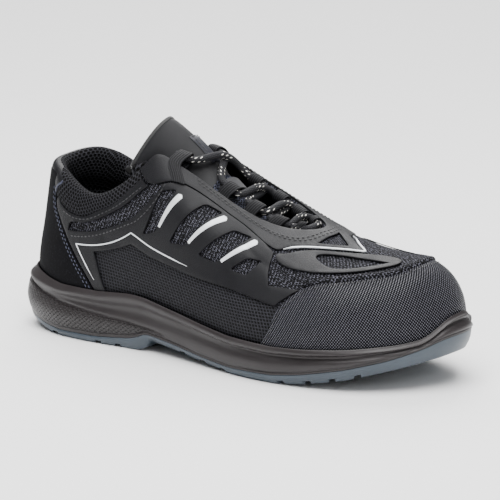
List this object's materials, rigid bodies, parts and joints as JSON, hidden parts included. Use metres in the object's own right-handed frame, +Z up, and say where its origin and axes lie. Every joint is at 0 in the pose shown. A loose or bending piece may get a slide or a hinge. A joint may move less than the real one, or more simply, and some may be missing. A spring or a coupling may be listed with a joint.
{
  "type": "safety sneaker",
  "caption": "Low-cut safety sneaker with padded collar, caged quarters, laced webbing straps, ribbed toe guard and a cushioned rubber sole",
  "frame": {"origin": "on the floor, in the middle of the flat heel tread", "axes": "+X runs from heel to toe, +Y is the medial side of a right shoe, +Z is up; the shoe stands on its sole"},
  "size_m": [0.2979, 0.1087, 0.1322],
  "materials": {
    "upper": "knitted mesh",
    "midsole": "moulded foam, matt",
    "outsole": "rubber, matt",
    "insole": "brushed lining",
    "tongue": "padded knit",
    "collar": "padded mesh",
    "toe_guard": "fine dimpled",
    "heel_counter": "suede-like",
    "eyestay": "matt synthetic",
    "quarter_lateral": "matt synthetic",
    "quarter_medial": "matt synthetic",
    "vamp_wing_lateral": "matt synthetic",
    "vamp_wing_medial": "matt synthetic",
    "lace": "braided cord",
    "lace_strap_lateral_1": "ribbed webbing",
    "lace_strap_lateral_2": "ribbed webbing",
    "lace_strap_lateral_3": "ribbed webbing",
    "lace_strap_lateral_4": "ribbed webbing",
    "lace_strap_lateral_5": "ribbed webbing",
    "lace_strap_medial_1": "ribbed webbing",
    "lace_strap_medial_2": "ribbed webbing",
    "lace_strap_medial_3": "ribbed webbing",
    "lace_strap_medial_4": "ribbed webbing",
    "lace_strap_medial_5": "ribbed webbing"
  },
  "bodies": {
    "root": {"upper": "upper", "midsole": "midsole", "outsole": "outsole", "insole": "insole", "tongue": "tongue", "collar": "collar", "toe_guard": "toe_guard", "heel_counter": "heel_counter", "eyestay": "eyestay", "quarter_lateral": "quarter_lateral", "quarter_medial": "quarter_medial", "vamp_wing_lateral": "vamp_wing_lateral", "vamp_wing_medial": "vamp_wing_medial", "lace": "lace", "lace_strap_lateral_1": "lace_strap_lateral_1", "lace_strap_lateral_2": "lace_strap_lateral_2", "lace_strap_lateral_3": "lace_strap_lateral_3", "lace_strap_lateral_4": "lace_strap_lateral_4", "lace_strap_lateral_5": "lace_strap_lateral_5", "lace_strap_medial_1": "lace_strap_medial_1", "lace_strap_medial_2": "lace_strap_medial_2", "lace_strap_medial_3": "lace_strap_medial_3", "lace_strap_medial_4": "lace_strap_medial_4", "lace_strap_medial_5": "lace_strap_medial_5"}
  },
  "joints": []
}
